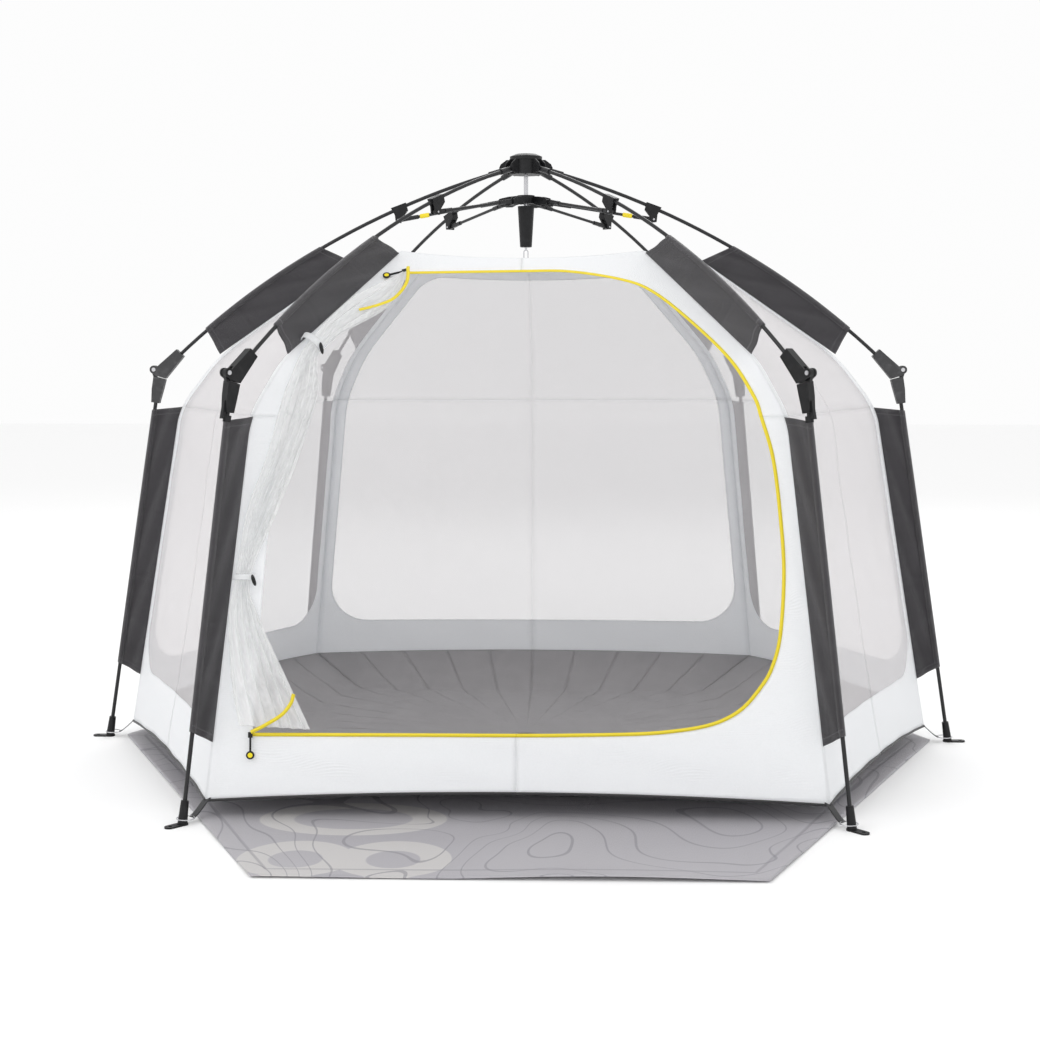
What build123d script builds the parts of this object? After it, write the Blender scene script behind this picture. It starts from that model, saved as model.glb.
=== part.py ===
from build123d import *
from math import atan, atan2, cos, hypot, radians, sin
import os

# Hub tent: six folding poles in a symmetric hexagon carry a hanging fabric body.
# Frame: +Z up, -Y is the door side, origin on the ground under the hub. Millimetres.

# ---- driving dimensions -----------------------------------------------------
front_half_angle = 40.5          # front and rear poles stand this far off the Y axis
foot_radius = 1100               # hub axis to the middle of each foot
knee_radius, knee_height = 961, 965
hub_pin_radius, hub_pin_height = 52, 1470
rib_rise = 67                    # bow of the upper pole above its chord
rib_offset, leg_offset = 19, 15  # knee pin to the upper and the lower pole's centre line
upper_pole_diameter, lower_pole_diameter, strut_diameter = 9, 9.5, 7.5
strut_pin_radius, strut_pin_height = 325, 1345    # outer end of the strut, at the bracket
runner_pin_radius, runner_pin_height = 64, 1388   # inner end of the strut, at the runner
strut_side = 17                  # how far the inner end stands beside its pole's plane
fit_gap = 0.08                   # running clearance, on the radius
fabric = 2                       # thickness of a fabric stand-in
wall_line = [(1037, 42), (897, 869), (793, 1002), (439, 1247)]   # body corner, radius and height
roof_height, roof_radius = 1222, 420
floor_height, floor_radius = 8, 1000
mat_thickness = 2

poles = {
    "right": 0,
    "rear_right": 90 - front_half_angle,
    "rear_left": 90 + front_half_angle,
    "left": 180,
    "front_left": 270 - front_half_angle,
    "front_right": 270 + front_half_angle,
}
azimuths = list(poles.values())

# ---- worked out -------------------------------------------------------------
chord_run = knee_radius - rib_offset * sin(radians(44)) - hub_pin_radius
chord_drop = hub_pin_height - knee_height + rib_offset * cos(radians(44))
rib_half_turn = 2 * atan(2 * rib_rise / hypot(chord_run, chord_drop))
rib_bend_radius = hypot(chord_run, chord_drop) / (2 * sin(rib_half_turn))
rib_start_slope = atan2(chord_drop, chord_run) - rib_half_turn
leg_lean = atan2(foot_radius - knee_radius + leg_offset, knee_height)


def rib_point(distance):
    """The upper pole's centre line, as radius and height, at a distance along it from the hub pin."""
    slope = rib_start_slope + distance / rib_bend_radius
    return (
        hub_pin_radius + rib_bend_radius * (sin(slope) - sin(rib_start_slope)),
        hub_pin_height + rib_bend_radius * (cos(slope) - cos(rib_start_slope)),
    )


rib_length = 2 * rib_half_turn * rib_bend_radius


def leg_point(height):
    """The lower pole's centre line at a height."""
    return foot_radius - height * sin(leg_lean) / cos(leg_lean), height


def pole_plane(azimuth, side=0):
    """The upright plane of a pole: x is the radius, y is the height; side shifts it sideways."""
    a = radians(azimuth)
    return Plane(
        origin=(-side * sin(a), side * cos(a), 0),
        x_dir=(cos(a), sin(a), 0),
        z_dir=(sin(a), -cos(a), 0),
    )


def at_pole(azimuth, radius, height, side=0):
    """A point in space from its radius and height in a pole's plane."""
    return pole_plane(azimuth, side).from_local_coords(Vector(radius, height, 0))


def corner_xy(azimuth, radius):
    """Plan position of a point on a pole's azimuth."""
    return radius * cos(radians(azimuth)), radius * sin(radians(azimuth))


def save(piece, name):
    """Labels a finished piece and writes its STEP file."""
    piece.part.label = name
    export_step(piece.part, f"parts/{name}.step")


def disc_plane(start, end):
    """A plane across the line from start to end, at its start."""
    return Plane(origin=start, z_dir=end - start)


os.makedirs("parts", exist_ok=True)

# ---- hub: body with six forks and their hinge pins, cap, centre rod ----------
hub_bottom, hub_shoulder, hub_top = 1458, 1494, 1509
hub_body_radius, hub_fork_reach = 39, 68
eye_half = 7.6                   # half the width of the upper pole's end eye
fork_cheek = 3.4
pin_radius = 2.5
fork_slot_depth, fork_slot_length, fork_slot_height, fork_slot_gap = 10, 62, 70, 0.3
fork_outline = [(30, 1500), (48, 1495), (64, 1483), (hub_fork_reach, 1474), (60, 1460), (30, 1460)]
rod_radius, rod_bottom = 5.6, 1337
rod_seat = 6                     # the rod stops this far below the hub body's top
cap_rim, cap_slope_height, cap_slope_width = 2, 6, 14

with BuildPart() as hub_body:
    with BuildSketch(Plane.XY.offset(hub_bottom)):
        Circle(hub_body_radius)
    extrude(amount=hub_shoulder - hub_bottom)
    for azimuth in azimuths:
        with BuildSketch(pole_plane(azimuth)):
            with BuildLine():
                Polyline(*fork_outline, close=True)
            make_face()
        extrude(amount=eye_half + fit_gap + fork_cheek, both=True)
    for azimuth in azimuths:
        with BuildSketch(pole_plane(azimuth)):
            with Locations((hub_pin_radius - fork_slot_depth + fork_slot_length / 2, hub_pin_height)):
                Rectangle(fork_slot_length, fork_slot_height)
        extrude(amount=eye_half + fork_slot_gap, both=True, mode=Mode.SUBTRACT)
    with BuildSketch(Plane.XY.offset(hub_shoulder)):
        Circle(hub_fork_reach + 2)
    extrude(amount=hub_top, mode=Mode.SUBTRACT)
    with BuildSketch(Plane.XY.offset(hub_bottom)):
        Circle(rod_radius)
    extrude(amount=hub_shoulder - hub_bottom - rod_seat, mode=Mode.SUBTRACT)
    for azimuth in azimuths:
        with BuildSketch(pole_plane(azimuth)):
            with Locations((hub_pin_radius, hub_pin_height)):
                Circle(pin_radius)
        extrude(amount=eye_half + fork_cheek, both=True)
save(hub_body, "hub_body")

with BuildPart() as hub_cap:
    with BuildSketch(Plane.XY.offset(hub_shoulder)):
        Circle(hub_body_radius + cap_rim)
    extrude(amount=hub_top - hub_shoulder)
    chamfer(hub_cap.faces().sort_by(Axis.Z)[-1].edges(), length=cap_slope_height, length2=cap_slope_width)
save(hub_cap, "hub_cap")

with BuildPart() as centre_rod:
    with BuildSketch(Plane.XY.offset(rod_bottom)):
        Circle(rod_radius)
    extrude(amount=hub_shoulder - rod_seat - rod_bottom)
save(centre_rod, "centre_rod")

# ---- runner: collar with six slotted lugs, and the handle under it -----------
collar_radius, collar_top, collar_bottom = 22, 1406, 1386
lug_half, strut_eye_half, lug_slot_gap = 8.6, 4, 1.6
lug_outline = [(14, 1404), (44, 1401), (66, 1396), (73, 1388), (68, 1380), (44, 1379), (14, 1387)]
lug_slot_start, lug_slot_size = 38, 60
handle_top_radius, handle_bottom_radius = 21, 15
handle_bottom, handle_top, handle_floor = 1276, 1379, 5
rod_bore = rod_radius + 0.3
handle_bore = rod_bore + 1
loop_stem_radius, loop_stem_bottom = 3, 1268
loop_head_radius, loop_head_thickness, loop_head_top = 5, 2, 1289.2

with BuildPart() as runner:
    with BuildSketch(Plane.XY.offset(collar_bottom)):
        Circle(collar_radius)
    extrude(amount=collar_top - collar_bottom)
    for azimuth in azimuths:
        with BuildSketch(pole_plane(azimuth, strut_side)):
            with BuildLine():
                Polyline(*lug_outline, close=True)
            make_face()
        extrude(amount=lug_half, both=True)
    for azimuth in azimuths:
        with BuildSketch(pole_plane(azimuth, strut_side)):
            with Locations((lug_slot_start + lug_slot_size / 2, runner_pin_height)):
                Rectangle(lug_slot_size, lug_slot_size)
        extrude(amount=strut_eye_half + lug_slot_gap, both=True, mode=Mode.SUBTRACT)
    with BuildSketch(Plane.XY.offset(collar_bottom - 12)):
        Circle(rod_bore)
    extrude(amount=60, mode=Mode.SUBTRACT)
save(runner, "runner")

with BuildPart() as runner_handle:
    with BuildSketch(Plane.XY.offset(handle_bottom)):
        Circle(handle_bottom_radius)
    with BuildSketch(Plane.XY.offset(handle_top)):
        Circle(handle_top_radius)
    loft()
    with BuildSketch(Plane.XY.offset(handle_bottom + handle_floor)):
        Circle(handle_bore)
    extrude(amount=120, mode=Mode.SUBTRACT)
    with BuildSketch(Plane.XY.offset(handle_bottom - 1)):
        Circle(loop_stem_radius + fit_gap)
    extrude(amount=20, mode=Mode.SUBTRACT)
    fillet(runner_handle.faces().sort_by(Axis.Z)[0].edges().sort_by(SortBy.RADIUS)[-1], radius=2)
save(runner_handle, "runner_handle")

# ---- pull loop: stem with a head inside the handle, and a wire loop ----------
loop_wire, loop_half_width, loop_low, loop_high = 3, 6.7, 1239, 1270
with BuildPart() as pull_loop:
    with BuildSketch(Plane.XY.offset(loop_stem_bottom)):
        Circle(loop_stem_radius)
    extrude(amount=loop_head_top - loop_stem_bottom)
    with BuildSketch(Plane.XY.offset(loop_head_top - loop_head_thickness)):
        Circle(loop_head_radius)
    extrude(amount=loop_head_thickness)
    with BuildSketch(Plane.XZ):
        with Locations((0, (loop_low + loop_high) / 2)):
            RectangleRounded(2 * loop_half_width, loop_high - loop_low, loop_half_width - 0.4)
            RectangleRounded(
                2 * (loop_half_width - loop_wire),
                loop_high - loop_low - 2 * loop_wire,
                loop_half_width - loop_wire - 0.4,
                mode=Mode.SUBTRACT,
            )
    extrude(amount=loop_wire / 2, both=True)
save(pull_loop, "pull_loop")

# ---- the six pole sets -------------------------------------------------------
eye_radius = 8.3
ferrule_radius, ferrule_length = 7.4, 44
fit_clearance = 0.02            # a pole in its glued socket, on the radius
pole_start = 14                  # the pole begins this far from the hub pin, inside its ferrule
socket_start, socket_end = 26, 80
knee_half, knee_slot_half, tongue_half = 10, 4.9, 4.4
knee_slot_radius, knee_cheek_radius, tongue_radius = 20.5, 10.5, 9.4
rivet_radius, rivet_head_radius, rivet_head = 3, 5, 1.5
upper_knee_outline = [(-16, 14), (-60, 52), (-78, 34), (-30, -23.2), (-4, -15.4), (8, -7)]
lower_knee_outline = [(-1.5, 17), (-1.5, 50), (-5, 84), (-25, 84), (-31, 40), (-33, 20.5)]
tongue_outline = [(-9, 0), (-9.5, 22), (-2, 22), (9, 0)]
sleeve_top, sleeve_bottom = 52, 7
sleeve_low_radius, sleeve_high_radius = 10.5, 8.4
base_radius, base_thickness = 12, 4
tab_length, tab_width, tab_thickness, peg_hole_radius = 46, 22, 3.5, 4.5
ring_radius, ring_wire_radius, ring_height = 19, 1.2, 13
clip_outline = [(6, -58), (9, -60), (18, -98), (6, -98)]
clip_collar_radius, clip_collar_length, clip_half = 9, 14, 4
bracket_half, bracket_slot = 9, (60, 44)
bracket_rivet_radius = 2.5
strut_flat, strut_flat_half, strut_end_length, strut_end_radius = 30, 3, 52, 5.4
strut_eye_radius = 6


def knee_corner(across, along):
    """A point of the lower knee part from its distances across and along the lower pole."""
    return (
        knee_radius + across * cos(leg_lean) + along * sin(leg_lean),
        knee_height + across * sin(leg_lean) - along * cos(leg_lean),
    )


def rib_path(start, end):
    """Three points of the upper pole's arc between two distances from the hub pin."""
    return [rib_point(start), rib_point((start + end) / 2), rib_point(end)]


bracket_distance = 290
while rib_point(bracket_distance)[0] < strut_pin_radius - 14:
    bracket_distance += 1

for name, azimuth in poles.items():
    plane = pole_plane(azimuth)

    with BuildPart() as upper_pole:
        with BuildLine(plane) as centre_line:
            ThreePointArc(*rib_path(pole_start, rib_length - socket_start))
        with BuildSketch(Plane(origin=centre_line.line @ 0, z_dir=centre_line.line % 0)):
            Circle(upper_pole_diameter / 2)
        sweep()
    with BuildPart() as pole_ferrule:
        with BuildSketch(plane):
            with Locations((hub_pin_radius, hub_pin_height)):
                Circle(eye_radius)
        extrude(amount=eye_half, both=True)
        ferrule_end = rib_point(ferrule_length)
        with BuildSketch(
            disc_plane(
                at_pole(azimuth, hub_pin_radius, hub_pin_height), at_pole(azimuth, *ferrule_end)
            )
        ):
            Circle(ferrule_radius)
        extrude(amount=ferrule_length)
        with BuildSketch(plane):
            with Locations((hub_pin_radius, hub_pin_height)):
                Circle(pin_radius + fit_gap)
        extrude(amount=eye_half + 1, both=True, mode=Mode.SUBTRACT)
        with BuildLine(plane) as bore_line:
            ThreePointArc(*rib_path(pole_start - 1, ferrule_length + 20))
        with BuildSketch(Plane(origin=bore_line.line @ 0, z_dir=bore_line.line % 0)):
            Circle(upper_pole_diameter / 2 + fit_clearance)
        sweep(mode=Mode.SUBTRACT)
    upper_pole_set = Compound(children=[upper_pole.part, pole_ferrule.part])
    upper_pole_set.label = f"upper_pole_{name}"
    export_step(upper_pole_set, f"parts/upper_pole_{name}.step")

    # bracket: a collar round the pole with a fork below it, and the strut's rivet
    with BuildPart() as strut_bracket:
        middle = rib_point(bracket_distance)
        with BuildSketch(plane):
            with BuildLine():
                Polyline(
                    (middle[0] - 19, middle[1] + 15),
                    (middle[0] + 19, middle[1] + 1),
                    (strut_pin_radius + 9, strut_pin_height + 12),
                    (strut_pin_radius + 7, strut_pin_height - 6),
                    (strut_pin_radius - 6, strut_pin_height - 7),
                    (strut_pin_radius - 9, strut_pin_height + 6),
                    (middle[0] - 24, middle[1] - 4),
                    close=True,
                )
            make_face()
        extrude(amount=bracket_half, both=True)
        with BuildSketch(plane):
            with Locations((strut_pin_radius - 9, strut_pin_height - 3)):
                Rectangle(*bracket_slot)
        extrude(amount=strut_eye_half + 0.5, both=True, mode=Mode.SUBTRACT)
        with BuildLine(plane) as collar_line:
            ThreePointArc(*rib_path(bracket_distance - 60, bracket_distance + 60))
        with BuildSketch(Plane(origin=collar_line.line @ 0, z_dir=collar_line.line % 0)):
            Circle(upper_pole_diameter / 2 + fit_clearance)
        sweep(mode=Mode.SUBTRACT)
        with BuildSketch(plane):
            with Locations((strut_pin_radius, strut_pin_height)):
                Circle(bracket_rivet_radius)
        extrude(amount=bracket_half + 1.5, both=True)
    save(strut_bracket, f"strut_bracket_{name}")

    # strut: a rod between two eyed ends; the inner end runs free in the runner's slot
    outer = at_pole(azimuth, strut_pin_radius, strut_pin_height)
    inner = at_pole(azimuth, runner_pin_radius, runner_pin_height, strut_side)
    direction = (inner - outer).normalized()
    with BuildPart() as strut:
        with BuildSketch(Plane(origin=outer + direction * 10, z_dir=direction)):
            Circle(strut_diameter / 2)
        extrude(amount=(inner - outer).length - 20)
        for end, inwards in ((outer, direction), (inner, -direction)):
            with BuildSketch(Plane(origin=end + inwards * strut_flat, z_dir=inwards)):
                Circle(strut_end_radius)
            extrude(amount=strut_end_length - strut_flat)
            with BuildSketch(
                Plane(origin=end + inwards, z_dir=inwards, x_dir=plane.z_dir)
            ):
                Rectangle(2 * strut_flat_half, 2 * strut_end_radius)
            extrude(amount=strut_flat)
        with BuildSketch(plane):
            with Locations((strut_pin_radius, strut_pin_height)):
                Circle(strut_eye_radius)
        extrude(amount=strut_eye_half, both=True)
        with BuildSketch(pole_plane(azimuth, strut_side)):
            with Locations((runner_pin_radius, runner_pin_height)):
                Circle(strut_eye_radius)
        extrude(amount=strut_eye_half, both=True)
        with BuildSketch(plane):
            with Locations((strut_pin_radius, strut_pin_height)):
                Circle(bracket_rivet_radius + fit_gap)
        extrude(amount=20, both=True, mode=Mode.SUBTRACT)
    save(strut, f"strut_{name}")

    # upper knee part: socket for the upper pole, two cheeks and the rivet
    with BuildPart() as knee_upper:
        with BuildSketch(plane):
            with BuildLine():
                Polyline(
                    *[(knee_radius + x, knee_height + z) for x, z in upper_knee_outline],
                    close=True,
                )
            make_face()
            with Locations((knee_radius, knee_height)):
                Circle(knee_cheek_radius)
        extrude(amount=knee_half, both=True)
        with BuildSketch(plane):
            with Locations((knee_radius, knee_height)):
                Circle(knee_slot_radius)
        extrude(amount=knee_slot_half, both=True, mode=Mode.SUBTRACT)
        with BuildLine(plane) as socket_line:
            ThreePointArc(*rib_path(rib_length - socket_end - 20, rib_length - socket_start))
        with BuildSketch(Plane(origin=socket_line.line @ 0, z_dir=socket_line.line % 0)):
            Circle(upper_pole_diameter / 2 + fit_clearance)
        sweep(mode=Mode.SUBTRACT)
        with BuildSketch(plane):
            with Locations((knee_radius, knee_height)):
                Circle(rivet_radius)
        extrude(amount=knee_half, both=True)
        for side in (-1, 1):
            with BuildSketch(pole_plane(azimuth, side * (knee_half + rivet_head / 2))):
                with Locations((knee_radius, knee_height)):
                    Circle(rivet_head_radius)
            extrude(amount=rivet_head / 2, both=True)
    save(knee_upper, f"knee_upper_{name}")

    # lower knee part: tapered socket for the lower pole and the tongue between the cheeks
    with BuildPart() as knee_lower:
        with BuildSketch(plane):
            with BuildLine():
                Polyline(*[knee_corner(*corner) for corner in lower_knee_outline], close=True)
            make_face()
        extrude(amount=knee_half - 0.5, both=True)
        with BuildSketch(plane):
            with BuildLine():
                Polyline(*[knee_corner(*corner) for corner in tongue_outline], close=True)
            make_face()
            with Locations((knee_radius, knee_height)):
                Circle(tongue_radius)
        extrude(amount=tongue_half, both=True)
        with BuildSketch(plane):
            with Locations((knee_radius, knee_height)):
                Circle(rivet_radius + fit_gap)
        extrude(amount=20, both=True, mode=Mode.SUBTRACT)
        top = at_pole(azimuth, *leg_point(knee_height - 34))
        foot_point = at_pole(azimuth, foot_radius, 0)
        with BuildSketch(disc_plane(top, foot_point)):
            Circle(lower_pole_diameter / 2 + fit_clearance)
        extrude(amount=80, mode=Mode.SUBTRACT)
        if name.startswith("front"):
            clip = at_pole(azimuth, *leg_point(knee_height - 92))
            with BuildSketch(disc_plane(clip, foot_point)):
                Circle(clip_collar_radius)
                Circle(lower_pole_diameter / 2 + fit_clearance, mode=Mode.SUBTRACT)
            extrude(amount=clip_collar_length)
            with BuildSketch(plane):
                with BuildLine():
                    Polyline(
                        *[(knee_radius + x, knee_height + z) for x, z in clip_outline],
                        close=True,
                    )
                make_face()
            extrude(amount=clip_half, both=True)
    save(knee_lower, f"knee_lower_{name}")

    with BuildPart() as lower_pole:
        bottom = at_pole(azimuth, *leg_point(sleeve_bottom + 5))
        with BuildSketch(disc_plane(top, foot_point)):
            Circle(lower_pole_diameter / 2)
        extrude(amount=(bottom - top).length)
    save(lower_pole, f"lower_pole_{name}")

    # foot: sleeve, base with a peg tab, and the steel ring that takes the corner strap
    with BuildPart() as foot:
        sleeve_low = at_pole(azimuth, *leg_point(sleeve_bottom - 4))
        sleeve_high = at_pole(azimuth, *leg_point(sleeve_top))
        with BuildSketch(disc_plane(sleeve_low, sleeve_high)):
            Circle(sleeve_low_radius)
        with BuildSketch(disc_plane(sleeve_high, sleeve_high * 2 - sleeve_low)):
            Circle(sleeve_high_radius)
        loft()
        with BuildSketch(disc_plane(bottom, sleeve_high)):
            Circle(lower_pole_diameter / 2 + fit_clearance)
        extrude(amount=80, mode=Mode.SUBTRACT)
        with BuildSketch(Plane.XY):
            with Locations(corner_xy(azimuth, foot_radius - 1)):
                Circle(base_radius)
        extrude(amount=base_thickness)
        tab = Plane(
            origin=at_pole(azimuth, foot_radius + 21, 0), x_dir=plane.x_dir, z_dir=(0, 0, 1)
        )
        with BuildSketch(tab):
            SlotOverall(tab_length, tab_width)
        extrude(amount=tab_thickness)
        with BuildSketch(tab):
            with Locations((10, 0)):
                Circle(peg_hole_radius)
        extrude(amount=tab_thickness, mode=Mode.SUBTRACT)
    with BuildPart() as foot_ring:
        ring_middle = at_pole(azimuth, foot_radius - 9, ring_height)
        with BuildSketch(Plane(origin=ring_middle, x_dir=plane.x_dir, z_dir=plane.z_dir)):
            with Locations((ring_radius, 0)):
                Circle(ring_wire_radius)
        revolve(axis=Axis(ring_middle, (0, 0, 1)))
    foot_set = Compound(children=[foot.part, foot_ring.part])
    foot_set.label = f"foot_{name}"
    export_step(foot_set, f"parts/foot_{name}.step")

# ---- ground mat, with a porch in front of the door ---------------------------
mat_radius = 1054
porch_front, porch_half_width = 1200, 498
mat_corners = [corner_xy(a, mat_radius) for a in azimuths]
with BuildPart() as ground_mat:
    with BuildSketch(Plane.XY):
        with BuildLine():
            Polyline(
                *mat_corners[:5],
                (-porch_half_width, -porch_front),
                (porch_half_width, -porch_front),
                mat_corners[5],
                close=True,
            )
        make_face()
    extrude(amount=mat_thickness)
save(ground_mat, "ground_mat")

# ---- tent floor and roof -----------------------------------------------------
with BuildPart() as tent_floor:
    with BuildSketch(Plane.XY.offset(floor_height)):
        with BuildLine():
            Polyline(*[corner_xy(a, floor_radius) for a in azimuths], close=True)
        make_face()
    extrude(amount=fabric)
save(tent_floor, "tent_floor")

with BuildPart() as tent_roof:
    with BuildSketch(Plane.XY.offset(roof_height)):
        with BuildLine():
            Polyline(*[corner_xy(a, roof_radius) for a in azimuths], close=True)
        make_face()
    extrude(amount=fabric)
save(tent_roof, "tent_roof")

# ---- walls: each side of the hexagon is three flat panels --------------------
panel_gap = 3


def panel_plane(first, second, low, high, stand_off=0):
    """A wall panel's plane between two poles and two levels, with its trapezoid's corners.

    The plane's origin is the middle of the lower edge, x runs along it, and z points outwards.
    """
    a0, a1 = Vector(*corner_xy(first, low[0]), low[1]), Vector(*corner_xy(second, low[0]), low[1])
    b0, b1 = Vector(*corner_xy(first, high[0]), high[1]), Vector(*corner_xy(second, high[0]), high[1])
    along = (a1 - a0).normalized()
    rise = (b0 + b1) / 2 - (a0 + a1) / 2
    plane = Plane(origin=(a0 + a1) / 2, x_dir=along, z_dir=along.cross(rise)).offset(stand_off)
    half_low, half_high = (a1 - a0).length / 2 - panel_gap, (b1 - b0).length / 2 - panel_gap
    outline = [
        (-half_low, 0),
        (half_low, 0),
        (half_high, rise.length - 0.5),
        (-half_high, rise.length - 0.5),
    ]
    return plane, outline


levels = list(zip(wall_line[:-1], wall_line[1:]))
with BuildPart() as tent_walls:
    for first, second in zip(azimuths[:4], azimuths[1:5]):
        for low, high in levels:
            plane, outline = panel_plane(first, second, low, high)
            with BuildSketch(plane):
                with BuildLine():
                    Polyline(*outline, close=True)
                make_face()
            extrude(amount=-fabric)
    for low, high in levels:
        plane, outline = panel_plane(azimuths[5], azimuths[0], low, high)
        with BuildSketch(plane):
            with BuildLine():
                Polyline(*outline, close=True)
            make_face()
        extrude(amount=-fabric)
save(tent_walls, "tent_walls")

# ---- front wall with the door opening, and the zip round it ------------------
door_left = [(-576, 183), (-548, 560), (-512, 870), (-462, 982), (-271, 1192)]
door_curve = [
    (110, 1195), (303, 1146), (466, 992), (553, 779), (576, 531), (550, 332), (452, 224), (300, 191),
]
zip_width, zip_thickness = 7, 2
front_pair = (azimuths[4], azimuths[5])


def zip_line():
    """Draws the zipped edge of the door as seen from the front: top, right and bottom."""
    Line(door_left[-1], door_curve[0])
    Spline(*door_curve, tangents=[(1, -0.05), (-1, -0.02)])
    Line(door_curve[-1], door_left[0])


with BuildPart() as tent_front:
    for low, high in levels:
        plane, outline = panel_plane(*front_pair, low, high)
        with BuildSketch(plane):
            with BuildLine():
                Polyline(*outline, close=True)
            make_face()
        extrude(amount=-fabric)
    with BuildSketch(Plane.XZ):
        with BuildLine():
            Polyline(*door_left)
            zip_line()
        make_face()
    extrude(amount=1200, mode=Mode.SUBTRACT)
save(tent_front, "tent_front")

with BuildPart() as door_zip:
    for low, high in levels:
        plane, outline = panel_plane(*front_pair, low, high, 1)
        with BuildSketch(plane):
            with BuildLine():
                Polyline(*outline, close=True)
            make_face()
        extrude(amount=zip_thickness)
    with BuildSketch(Plane.XZ):
        with BuildLine():
            zip_line()
        trace(line_width=zip_width)
    extrude(amount=1200, mode=Mode.INTERSECT)
save(door_zip, "door_zip")

# ---- door curtain, gathered along the left edge, and its two ties ------------
curtain_outline = [
    (-300, 1168), (-470, 1012), (-508, 930), (-575, 520), (-600, 200),
    (-445, 200), (-560, 500), (-490, 800), (-440, 960), (-330, 1090),
]
curtain_thickness, curtain_stand_off = 22, 4
with BuildPart() as door_curtain:
    for low, high in levels:
        plane, outline = panel_plane(*front_pair, low, high, curtain_stand_off)
        with BuildSketch(plane):
            with BuildLine():
                Polyline(*outline, close=True)
            make_face()
        extrude(amount=curtain_thickness)
    with BuildSketch(Plane.XZ):
        with BuildLine():
            Polyline(*curtain_outline, close=True)
        make_face()
    extrude(amount=1200, mode=Mode.INTERSECT)
save(door_curtain, "door_curtain")

tie_places = [(-452, 1012, 45), (-578, 521, 5)]
tie_length, tie_width, tie_thickness = 46, 14, 2
toggle_length, toggle_width, toggle_thickness = 26, 9, 9
with BuildPart() as curtain_ties:
    for x, z, turn in tie_places:
        level = next(i for i, (low, high) in enumerate(levels) if low[1] <= z <= high[1])
        plane, outline = panel_plane(*front_pair, *levels[level], curtain_stand_off + curtain_thickness + 1)
        drop = (z - levels[level][0][1]) / (levels[level][1][1] - levels[level][0][1])
        with BuildSketch(plane):
            with Locations(Location((x, drop * outline[2][1], 0), turn)):
                Rectangle(tie_length, tie_width)
        extrude(amount=tie_thickness)
        with BuildSketch(plane):
            with Locations(Location((x + 24, drop * outline[2][1] - 6, 0), turn)):
                SlotOverall(toggle_length, toggle_width, rotation=80)
        extrude(amount=toggle_thickness)
save(curtain_ties, "curtain_ties")

# ---- corner wings: fabric webs from the poles to the body corners ------------
upper_wing = [(500, 1278), (812, 1066), (790, 1008), (446, 1252)]
lower_wing = [(950, 862), (1057, 196), (1016, 166), (902, 868)]
with BuildPart() as corner_wings:
    for azimuth in azimuths:
        for wing in (upper_wing, lower_wing):
            with BuildSketch(pole_plane(azimuth)):
                with BuildLine():
                    Polyline(*wing, close=True)
                make_face()
            extrude(amount=fabric / 2, both=True)
save(corner_wings, "corner_wings")

# ---- corner straps from the body corners down to the rings at the feet -------
strap_half_width = 9
strap_outline = [(1034, 39), (1068, 14), (1066, 11.5), (1032, 36)]
with BuildPart() as corner_straps:
    for azimuth in azimuths:
        with BuildSketch(pole_plane(azimuth)):
            with BuildLine():
                Polyline(*strap_outline, close=True)
            make_face()
        extrude(amount=strap_half_width, both=True)
save(corner_straps, "corner_straps")

# ---- zip pulls ---------------------------------------------------------------
pull_thickness = 3
slider_length, slider_width, slider_thickness = 12, 9, 6
tab_diameter, tab_reach, cord_width, cord_length, cord_middle = 18, 44, 4, 34, 20
pulls = {"zip_pull_top": ((-271, 1192), 2, 200), "zip_pull_bottom": ((-576, 183), 0, 270)}
for pull_name, ((x, z), level, turn) in pulls.items():
    low, high = levels[level]
    plane, outline = panel_plane(*front_pair, low, high, 4)
    up = (z - low[1]) / (high[1] - low[1]) * (outline[2][1] + 0.5)
    with BuildPart() as zip_pull:
        with BuildSketch(plane):
            with Locations(Location((x, up, 0), turn)):
                Rectangle(slider_length, slider_width)
        extrude(amount=slider_thickness)
        with BuildSketch(plane.offset(1)):
            with Locations(Location((x, up, 0), turn)):
                with Locations((cord_middle, 0)):
                    Rectangle(cord_length, cord_width)
                with Locations((tab_reach, 0)):
                    Circle(tab_diameter / 2)
        extrude(amount=pull_thickness)
    save(zip_pull, pull_name)
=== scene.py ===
from math import cos, pi, radians, sin

import bpy
import numpy as np
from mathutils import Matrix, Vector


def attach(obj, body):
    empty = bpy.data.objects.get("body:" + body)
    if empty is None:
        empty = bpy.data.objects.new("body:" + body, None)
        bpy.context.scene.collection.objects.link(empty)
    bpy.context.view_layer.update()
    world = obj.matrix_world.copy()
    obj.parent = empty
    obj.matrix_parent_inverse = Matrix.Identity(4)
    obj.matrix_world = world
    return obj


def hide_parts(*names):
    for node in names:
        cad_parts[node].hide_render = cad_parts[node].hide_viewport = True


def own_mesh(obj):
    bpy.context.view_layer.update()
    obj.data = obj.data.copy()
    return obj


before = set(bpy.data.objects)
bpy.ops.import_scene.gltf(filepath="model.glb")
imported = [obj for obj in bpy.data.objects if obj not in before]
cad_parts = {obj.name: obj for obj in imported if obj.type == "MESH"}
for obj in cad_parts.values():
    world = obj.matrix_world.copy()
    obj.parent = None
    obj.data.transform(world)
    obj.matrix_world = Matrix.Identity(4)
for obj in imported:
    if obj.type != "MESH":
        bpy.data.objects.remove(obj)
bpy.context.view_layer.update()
scene = bpy.context.scene

# ---- studio ----
# A pale floor and background, two soft boxes high in front, one high behind, and the
# camera a little over four metres in front of the door.


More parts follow.
